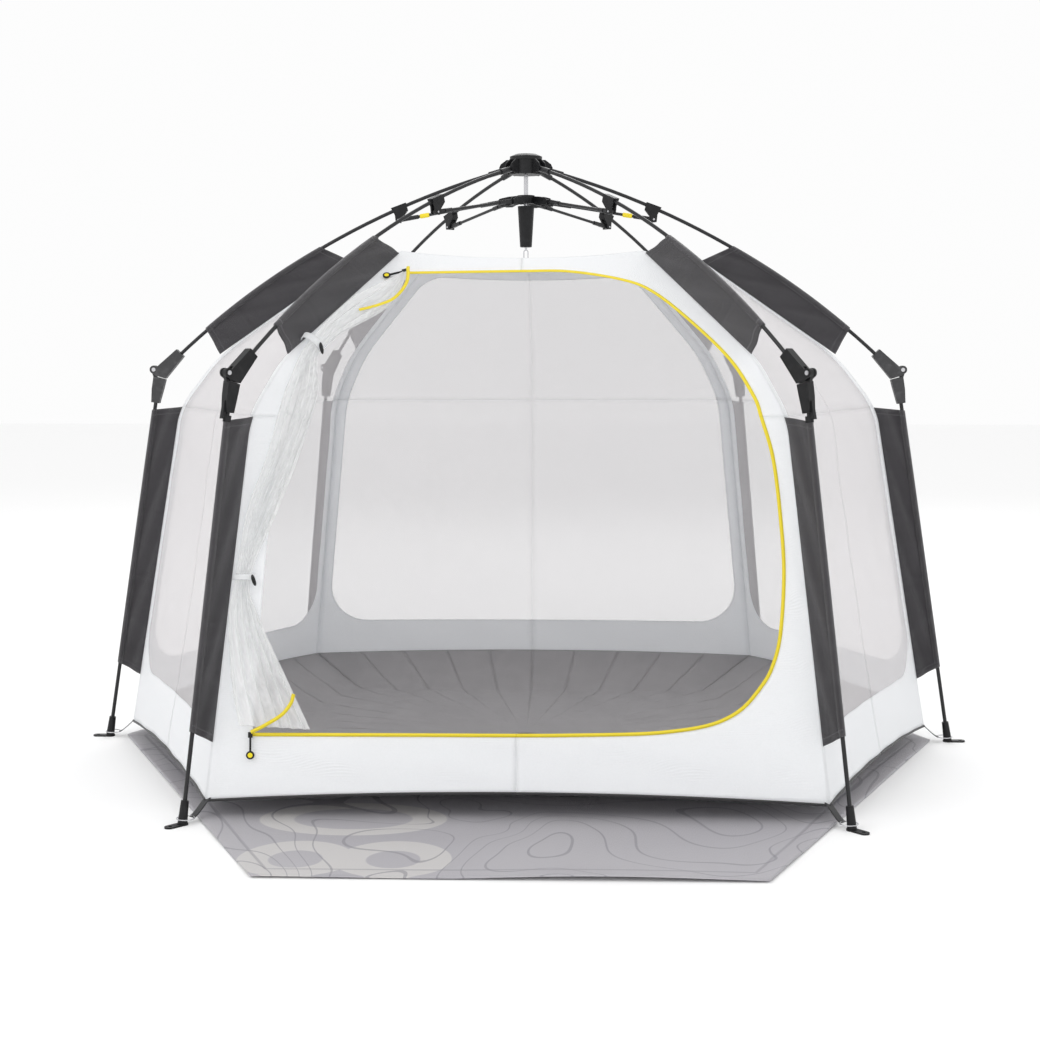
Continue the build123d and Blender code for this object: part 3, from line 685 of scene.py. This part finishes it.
roof_centre = 1.2235
sides = [(a, b if b > a else b + 360) for a, b in zip(angles, angles[1:] + angles[:1])]
for side, (first, second) in enumerate(sides):
    for start, stop in gores(first, second, 13):
        share, reach = np.meshgrid(np.linspace(start, stop, 9), np.linspace(0.02, 1, 30))
        edge = wall_point(first, second, share, np.full_like(share, body_top))
        points = edge * reach[..., None]
        points[..., 2] = roof_centre + (edge[..., 2] - roof_centre) * reach**3
        points[..., 2] += ripples(points, 0.09, 0.0012) * np.sin(pi * reach)
        flat = points[..., :2]
        gore = surface(f"roof_{names[side]}_{round(start * 100)}", points, polyester, flat, None, 0.0006)
        ride_gore(gore, "hub")
        declare_cloth(points)
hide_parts("tent_roof")

# ---- floor ----
# Charcoal coated polyester with a satin face; it lies a little wavy and turns up by about
# 80 mm at the walls.


def floor_finish():
    """Charcoal cloth with a coated sheen and long creases over fine threads."""
    material, tree, shader = new_finish("charcoal_floor", 0.5, Sheen_Weight=0.2, Coat_Weight=0.08)
    place = object_place(tree)
    height, _, creases = cloth_height(tree, place, 0.0012, 3.2, 2.2, 0.9)
    tone = math(tree, "MULTIPLY_ADD", creases.outputs["Height"], 0.5, 0.25)
    colour = mix_colours(tree, tone, (0.27, 0.26, 0.27, 1), (0.45, 0.435, 0.445, 1))
    dress(tree, shader, colour, height, 0.012, 0.8)
    return material


satin_floor = floor_finish()
for side, (first, second) in enumerate(sides):
    for start, stop in gores(first, second, 8):
        share, reach = np.meshgrid(np.linspace(start, stop, 13), np.linspace(0.01, 1, 56) ** 0.8)
        edge = wall_point(first, second, share, np.full_like(share, 0.085))
        inset = 1 - 0.006 / np.linalg.norm(edge[..., :2], axis=-1)
        points = edge * (reach * inset)[..., None]
        turn_up = np.clip((reach - 0.76) / 0.24, 0, 1) ** 1.1
        points[..., 2] = 0.009 + (edge[..., 2] - 0.009) * turn_up
        points[..., 2] += np.abs(ripples(points, 0.10, 0.005)) * np.sin(pi * np.clip(reach, 0, 1)) ** 0.5
        flat = points[..., :2]
        gore = surface(f"floor_{names[side]}_{round(start * 100)}", points, satin_floor, flat, None, 0.0006)
        ride_gore(gore, "root")
        declare_cloth(points)
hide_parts("tent_floor")

# ---- piping along the body's lower edge ----
# Black bias tape rolled over the raw lower edge of each wall.


def tube(centre, radius, count=10):
    """A round section carried along a line: centre + radius·(cos·level + sin·up).

    level is horizontal and square to the line; up is square to both.
    """
    along = np.gradient(centre, axis=0)
    along /= np.linalg.norm(along, axis=1)[:, None]
    level = np.cross(along, [0, 0, 1.0])
    level = np.where(np.linalg.norm(level, axis=1)[:, None] < 1e-3, [1.0, 0, 0], level)
    level /= np.linalg.norm(level, axis=1)[:, None]
    up = np.cross(level, along)
    turn = np.linspace(0, 2 * pi, count, endpoint=False)[None, :, None]
    radius = np.broadcast_to(radius, len(centre))[:, None, None]
    return centre[:, None] + radius * (level[:, None] * np.cos(turn) + up[:, None] * np.sin(turn))


def webbing_finish():
    """Black polypropylene webbing: fine ribs, paler on their tops."""
    material, tree, shader = new_finish("black_webbing", 0.6, Sheen_Weight=0.2)
    place = object_place(tree)
    ribs = add(tree, "ShaderNodeTexWave", {"Vector": place, "Scale": 260.0, "Distortion": 0.5})
    colour = mix_colours(tree, ribs.outputs["Fac"], (0.012, 0.012, 0.013, 1), (0.035, 0.035, 0.037, 1))
    dress(tree, shader, colour, ribs.outputs["Fac"], 0.0004, 0.6)
    return material


webbing = webbing_finish()
for side, (first, second) in enumerate(sides):
    for half in (0, 1):
        share = np.linspace(0, 0.5, 40) + 0.5 * half
        line = wall_point(first, second, share, np.full_like(share, body_bottom)) - np.array([0, 0, 0.001])
        piping = surface(f"piping_{names[side]}_{'ab'[half]}", tube(line, 0.0032), webbing, closed=True)
        ends = (first, second) if half == 0 else (second, first)
        ride_wall(piping, names[(side + half) % 6], *ends, body_bottom, knee_level)

# ---- wings ----
# Charcoal satin webs, one above and one below each knee. A sleeve along the outer edge
# slides on the pole, the inner edge is sewn into the body's corner seam.


def wing_finish():
    """Charcoal satin: streaks along the pull, and a hem 15 mm in from each end with its stitches."""
    material, tree, shader = new_finish("charcoal_satin", 0.42, Sheen_Weight=0.25, Sheen_Roughness=0.4)
    flat = add(tree, "ShaderNodeUVMap", uv_map="cloth").outputs[0]
    along = add(tree, "ShaderNodeSeparateXYZ", {0: flat})
    hem = add(tree, "ShaderNodeAttribute", attribute_name="hem").outputs["Fac"]
    height, _, creases = cloth_height(tree, flat, 0.0011, 9.0, 0.45, 0.92)
    tone = math(tree, "MULTIPLY_ADD", creases.outputs["Height"], 0.7, -0.1)
    colour = mix_colours(tree, tone, (0.024, 0.021, 0.025, 1), (0.095, 0.090, 0.100, 1))
    line = math(tree, "SUBTRACT", step(tree, hem, 0.0125, 0.0135), step(tree, hem, 0.015, 0.016))
    turns = math(tree, "SINE", math(tree, "MULTIPLY", along.outputs["X"], 2000.0))
    stitch = math(tree, "MULTIPLY", line, math(tree, "GREATER_THAN", turns, -0.4))
    colour = mix_colours(tree, math(tree, "MULTIPLY", stitch, 0.7), colour, (0.16, 0.155, 0.165, 1))
    tree.links.new(math(tree, "MULTIPLY_ADD", tone, -0.15, 0.45), shader.inputs["Roughness"])
    folded = math(tree, "MULTIPLY_ADD", step(tree, hem, 0.014, 0.016), -0.25, height)
    dress(tree, shader, colour, folded, 0.014)
    return material


def rib_line(share):
    """The upper pole's centre line by radius and height: an arc that leaves the hub pin at a slope
    of 15.3 degrees and meets the knee at 44.8 degrees, 2.03 m in radius."""
    start, end, bend = radians(rib_start), radians(rib_end), rib_bend
    slope = start + (end - start) * share
    radius = hub_pin_radius + bend * (np.sin(slope) - sin(start))
    return np.stack([radius, hub_pin_level + bend * (np.cos(slope) - cos(start))], -1)


hub_pin_radius, hub_pin_level, knee_pin_radius, knee_pin_level = 0.052, 1.470, 0.961, 0.965
chord_run = knee_pin_radius - 0.019 * sin(radians(44)) - hub_pin_radius
chord_drop = hub_pin_level - knee_pin_level + 0.019 * cos(radians(44))
rib_turn = 2 * np.arctan(2 * 0.067 / np.hypot(chord_run, chord_drop))
rib_bend = np.hypot(chord_run, chord_drop) / (2 * np.sin(rib_turn))
rib_middle = np.degrees(np.arctan2(chord_drop, chord_run))
rib_start, rib_end = rib_middle - np.degrees(rib_turn), rib_middle + np.degrees(rib_turn)


def leg_line(height):
    """The lower pole's centre line by radius and height, straight from the knee to the foot."""
    lean = (foot_radius - knee_pin_radius + 0.015) / knee_pin_level
    return np.stack([foot_radius - height * lean, height], -1)


def wing_section(azimuth, pole_point, seam_point, normal_turn):
    """A wing's closed section: along one face from the seam, round the pole, and back on the other.

    The faces stand 0.6 to 0.8 mm off a middle surface, which waves by up to 4 mm.
    """
    rows = len(pole_point)
    inward = seam_point - pole_point
    width = np.linalg.norm(inward, axis=1)[:, None]
    inward = inward / width
    out_share = np.linspace(1, 0, 14)[None]
    swell = 0.0006 + 0.0002 * np.sin(pi * out_share)
    wave = 0.004 * np.sin(pi * out_share) * np.sin(normal_turn[:, None] * 9 + 5 * out_share)
    sleeve = 0.0075
    start = sleeve * 0.9
    across = start + (width - start) * out_share
    turn = np.linspace(0.32, 2 * pi - 0.32, 15)[None]
    ring_in = np.cos(turn) * sleeve + np.zeros((rows, 1))
    ring_side = np.sin(turn) * sleeve + np.zeros((rows, 1))
    flat_in = np.concatenate([across, ring_in, across[:, ::-1]], 1)
    flat_side = np.concatenate([wave + swell, ring_side, (wave - swell)[:, ::-1]], 1)
    plane = pole_point[:, None] + inward[:, None] * flat_in[..., None]
    e, t = outward(azimuth), sideways(azimuth)
    points = plane[..., :1] * e + flat_side[..., None] * t + np.array([0, 0, 1.0]) * plane[..., 1:]
    return points, flat_in


satin_wing = wing_finish()
stations = 70
for pole, azimuth in poles.items():
    share = np.linspace(0, 1, stations)
    upper_pole = rib_line(0.487 + (0.838 - 0.487) * share)
    upper_seam = straight((0.447, 1.2415), (0.790, 1.0045), stations)
    lower_height = 0.862 + (0.196 - 0.862) * share
    lower_pole = leg_line(lower_height)
    lower_seam_height = knee_level + (0.166 - knee_level) * share
    lower_seam = np.stack([corner_radius(lower_seam_height), lower_seam_height], -1)
    for level, body, on_pole, on_seam in (
        ("upper", f"rib_{pole}", upper_pole, upper_seam),
        ("lower", f"leg_{pole}", lower_pole, lower_seam),
    ):
        points, across = wing_section(azimuth, on_pole, on_seam, share * 2.1 + radians(azimuth))
        run = lengths(on_pole[:, None], 0)
        hem = np.minimum(run, run[-1] - run) + 0 * across
        flat = np.stack([across, run + 0 * across], -1)
        wing = surface(f"wing_{level}_{pole}", points, satin_wing, flat, {"hem": hem}, closed=True)
        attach(wing, body)
        if pole == "right" and level == "upper":
            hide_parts("corner_wings")

# ---- door curtain ----
# The net door, unzipped and gathered along its left edge, tied back in two places; its
# own half of the zip hangs from its top and bottom corners.

curtain_left = [
    (-0.275, 1.188), (-0.390, 1.116), (-0.470, 1.024), (-0.505, 0.935), (-0.540, 0.790), (-0.585, 0.660),
    (-0.610, 0.522), (-0.625, 0.437), (-0.617, 0.300), (-0.600, 0.203),
]
curtain_right = [
    (-0.262, 1.190), (-0.300, 1.102), (-0.435, 1.014), (-0.436, 0.905), (-0.474, 0.786), (-0.517, 0.677),
    (-0.578, 0.522), (-0.560, 0.440), (-0.500, 0.310), (-0.446, 0.195),
]
fold_depth = [0.003, 0.010, 0.004, 0.012, 0.012, 0.010, 0.004, 0.009, 0.011, 0.010]


def curtain_finish():
    """Fine pale net in two or three layers, paler and denser along its creases."""
    # the net glows faintly: painted light for what comes through it
    material, tree, shader = new_finish("curtain_net", 0.75, **painted_glow_and_sheen)
    flat = add(tree, "ShaderNodeUVMap", uv_map="cloth").outputs[0]
    height, _, creases = cloth_height(tree, flat, 0.0016, 9.0, 3.0, 0.85)
    colour = mix_colours(tree, creases.outputs["Height"], (0.76, 0.755, 0.745, 1), (0.90, 0.895, 0.885, 1))
    cover = math(tree, "MULTIPLY_ADD", creases.outputs["Height"], 0.35, 0.20)
    tree.links.new(cover, shader.inputs["Alpha"])
    dress(tree, shader, colour, height, 0.004, 0.8)
    return material


def curtain_grid(low, high):
    """Rows down the curtain between two heights and columns across it; the cloth stands off the
    wall by 5 mm plus its folds, depth·(1 + sin(fold phase))."""
    rows = 400
    left, right = smooth_line(curtain_left, rows), smooth_line(curtain_right, rows)
    depth = np.interp(np.linspace(0, 1, rows), np.linspace(0, 1, len(fold_depth)), fold_depth)
    middle = (left[:, 1] + right[:, 1]) / 2
    kept = (middle <= high + 0.004) & (middle >= low - 0.004)
    left, right, depth = left[kept][:, None], right[kept][:, None], depth[kept][:, None]
    across = np.linspace(0, 1, 72)[None]
    place = left + (right - left) * across[..., None]
    drift = 1.6 * np.sin(3.1 * place[..., 1]) + 0.5 * np.sin(11 * place[..., 1])
    phase = 2 * pi * 5.5 * across**1.15 + drift
    off = 0.005 + depth * (1 + np.sin(phase)) * (0.75 + 0.25 * np.sin(2.3 * phase + 4 * place[..., 1]))
    x = place[..., 0] + 0.35 * depth * np.cos(phase)
    return on_front(x, place[..., 1], off)


curtain_net = curtain_finish()
curtain_bottom, curtain_top = 0.18, 1.2
for level, low, high in (("upper", knee_level, body_top), ("lower", body_bottom, knee_level)):
    points = curtain_grid(max(low, curtain_bottom), min(high, curtain_top))
    flat = np.stack([lengths(points, 1), lengths(points, 0)], -1)
    curtain = surface(f"door_curtain_{level}", points, curtain_net, flat, None, 0.0005)
    ride_front(curtain, "front_left", low, high)
    declare_cloth(points)
    if level == "upper":
        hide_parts("door_curtain")
zip_strip(
    "zip_curtain_top",
    smooth_line([(-0.262, 1.190), (-0.262, 1.152), (-0.286, 1.116), (-0.325, 1.098), (-0.363, 1.088)], 70),
    "front_left", knee_level, body_top, 0.022,
)
zip_strip(
    "zip_curtain_bottom",
    smooth_line([(-0.572, 0.190), (-0.540, 0.206), (-0.505, 0.228), (-0.486, 0.252), (-0.480, 0.272)], 60),
    "front_left", body_bottom, knee_level, 0.024,
)

# ---- curtain ties ----
# A white elastic band goes round the gathered curtain at each tie and closes on a black toggle.


def tie_band(name, x, z, half_width, turn, low, high):
    """A flat band over the curtain: an arch of half_width each way, lifted by up to 27 mm."""
    span = np.linspace(-1, 1, 24)
    side = np.linspace(-0.006, 0.006, 5)
    a = radians(turn)
    along, up = np.meshgrid(span * half_width, side, indexing="ij")
    lift = 0.006 + 0.021 * np.sqrt(np.clip(1 - span**2, 0, 1))[:, None] + 0 * up
    px, pz = x + along * cos(a) - up * sin(a), z + along * sin(a) + up * cos(a)
    points = on_front(px, pz, lift)
    band = surface(name, points, white_cloth(name, 0.2), np.stack([along, up], -1), None, 0.0012)
    ride_front(band, "front_left", low, high)
    return band


def toggle(name, x, z, low, high):
    """A black toggle: a round bar 25 mm long, fuller in the middle, beside the band's end."""
    run = np.linspace(-1, 1, 22)
    place = on_front(x + 0.004 * run, z - 0.012 * run, 0.018)
    radius = 0.0042 * np.sqrt(np.clip(1.08 - run**2, 0.02, 1))
    piece = surface(name, tube(place, radius, 14), moulded(name, black), closed=True)
    ride_front(piece, "front_left", low, high)


upper_tie = tie_band("tie_upper", -0.462, 1.024, 0.026, -28, knee_level, body_top)
tie_band("tie_lower", -0.594, 0.522, 0.024, 0, body_bottom, knee_level)
toggle("toggle_upper", -0.437, 1.006, knee_level, body_top)
toggle("toggle_lower", -0.570, 0.515, body_bottom, knee_level)
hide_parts("curtain_ties")

# ---- corner straps ----
# Black webbing from each body corner down to the steel ring at the foot.

for pole, azimuth in poles.items():
    knots = [(1.030, 0.047), (1.040, 0.039), (1.054, 0.026), (1.068, 0.0150), (1.0755, 0.0125)]
    line = smooth_line(knots, 22)
    width = np.linspace(-0.009, 0.009, 7)
    base = line[:, :1] * outward(azimuth) + line[:, 1:] * np.array([0, 0, 1.0])
    points = base[:, None] + width[None, :, None] * sideways(azimuth)
    run = lengths(base[:, None], 0)
    flat = np.stack(np.broadcast_arrays(run, width[None] + 0 * base[:, :1]), -1)
    strap = surface(f"corner_strap_{pole}", points, webbing, flat, None, 0.0018)
    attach(strap, f"leg_{pole}")
    declare_cloth(points)
    if pole == "right":
        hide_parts("corner_straps")

# ---- ground mat ----
# A separate padded sheet with a printed face, larger than the floor, with a porch in front;
# its hem is sewn 45 mm in and it lies a little wavy.


def mat_outline(count):
    """Points round the mat: its corners joined by straight runs, equally dense."""
    corners = [outward(a)[:2] * 1.054 for a in angles]
    corners[5:5] = [np.array([-0.498, -1.2]), np.array([0.498, -1.2])]
    runs = [straight(a, b, count)[:-1] for a, b in zip(corners, corners[1:] + corners[:1])]
    return np.vstack(runs)


def mat_finish():
    """Grey-mauve print: contour lines where a slow noise crosses even levels, and paler rings.

    A ring is where the distance from an ellipse's centre is between two sizes.
    """
    material, tree, shader = new_finish("printed_mat", 0.55, Sheen_Weight=0.1, Coat_Weight=0.06)
    place = object_place(tree)
    level = vector_math(tree, "MULTIPLY", place, (1, 1, 0))
    slow = add(tree, "ShaderNodeTexNoise", {"Vector": level, "Scale": 2.1, "Detail": 1.0, "Distortion": 0.5})
    levels = math(tree, "FRACT", math(tree, "MULTIPLY", slow.outputs["Fac"], 16.0))
    line = math(tree, "LESS_THAN", math(tree, "ABSOLUTE", math(tree, "SUBTRACT", levels, 0.5)), 0.035)
    rings = None
    for x, y, wide, deep, hole in (
        (-0.352, -0.790, 0.20, 0.125, 0.62),
        (-0.430, -1.085, 0.115, 0.125, 0.45),
        (-0.235, -1.082, 0.115, 0.125, 0.45),
    ):
        moved = vector_math(tree, "SUBTRACT", level, (x, y, 0))
        scaled = vector_math(tree, "MULTIPLY", moved, (1 / wide, 1 / deep, 0))
        size = vector_math(tree, "LENGTH", scaled, output="Value")
        ring = math(tree, "SUBTRACT", step(tree, size, hole, hole + 0.04), step(tree, size, 1.0, 1.03))
        rings = ring if rings is None else math(tree, "MAXIMUM", rings, ring)
    height, _, _ = cloth_height(tree, place, 0.0012, 5.0, 1.5, 0.8)
    tone = mix_colours(tree, slow.outputs["Fac"], (0.45, 0.435, 0.475, 1), (0.56, 0.545, 0.57, 1))
    tone = mix_colours(tree, math(tree, "MULTIPLY", rings, 0.85), tone, (0.70, 0.68, 0.67, 1))
    tone = mix_colours(tree, math(tree, "MULTIPLY", line, 0.6), tone, (0.25, 0.24, 0.28, 1))
    hem = add(tree, "ShaderNodeAttribute", attribute_name="hem").outputs["Fac"]
    seam = math(tree, "SUBTRACT", step(tree, hem, 0.041, 0.044), step(tree, hem, 0.048, 0.052))
    tone = mix_colours(tree, math(tree, "MULTIPLY", seam, 0.45), tone, (0.24, 0.23, 0.27, 1))
    dress(tree, shader, tone, math(tree, "MULTIPLY_ADD", seam, -0.5, height), 0.006, 0.6)
    return material


outline = mat_outline(60)
reach = np.concatenate([np.linspace(0.01, 0.9, 40), np.linspace(0.92, 1, 12)])[:, None]
mat_centre = np.array([0, -0.12])
flat = mat_centre + (outline - mat_centre)[None] * reach[..., None]
edge_gap = np.linalg.norm(outline - mat_centre, axis=1)[None] * (1 - reach) * 0.93
around = np.arange(len(outline))[None]
wave = np.sin(around * 0.11) * np.sin(around * 0.047 + 1) * 0.5 + 0.5
front = np.clip((-flat[..., 1] - 0.95) / 0.25, 0, 1)
mat_height = 0.0024 + 0.0055 * wave * np.clip(1 - edge_gap / 0.09, 0, 1) ** 1.5
near_edge = np.clip(1 - edge_gap / 0.2, 0, 1)
mat_height += 0.006 * front * np.clip(np.sin(flat[..., 0] * 4.2 + 0.4), 0, 1) * near_edge
mat_points = np.concatenate([flat, mat_height[..., None]], -1)
mat_points[-1, :, 2] -= 0.0012
hem_gap = {"hem": edge_gap[::-1]}
mat = surface(
    "ground_mat_print", mat_points[::-1], mat_finish(), flat[::-1], hem_gap, 0.0022, True, (False, True)
)
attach(mat, "root")
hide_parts("ground_mat")

# ---- small trim ----
# A yellow nylon sleeve on the outer end of each of the two middle struts, moulded and
# pushed over the strut.


def yellow_finish():
    """Yellow nylon with a fine grain."""
    material, tree, shader = new_finish("yellow_nylon", 0.5)
    place = object_place(tree)
    grain = add(tree, "ShaderNodeGroup", {"Vector": place}, node_tree=grain_group)
    colour = mix_colours(tree, grain.outputs["Marks"], (0.78, 0.60, 0.01, 1), (0.93, 0.76, 0.03, 1))
    dress(tree, shader, colour, grain.outputs["Height"], 0.0002, 0.5)
    return material


yellow_nylon = yellow_finish()
for pole in ("left", "right"):
    azimuth = poles[pole]
    outer = 0.325 * outward(azimuth) + np.array([0, 0, 1.345])
    inner = 0.064 * outward(azimuth) + 0.017 * sideways(azimuth) + np.array([0, 0, 1.388])
    along = (inner - outer) / np.linalg.norm(inner - outer)
    place = outer + along * np.linspace(0.056, 0.080, 12)[:, None]
    radius = 0.0058 * np.ones(12)
    radius[[0, -1]] = 0.0050
    band = surface(f"strut_band_{pole}", tube(place, radius, 20), yellow_nylon, closed=True)
    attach(band, f"strut_{pole}")
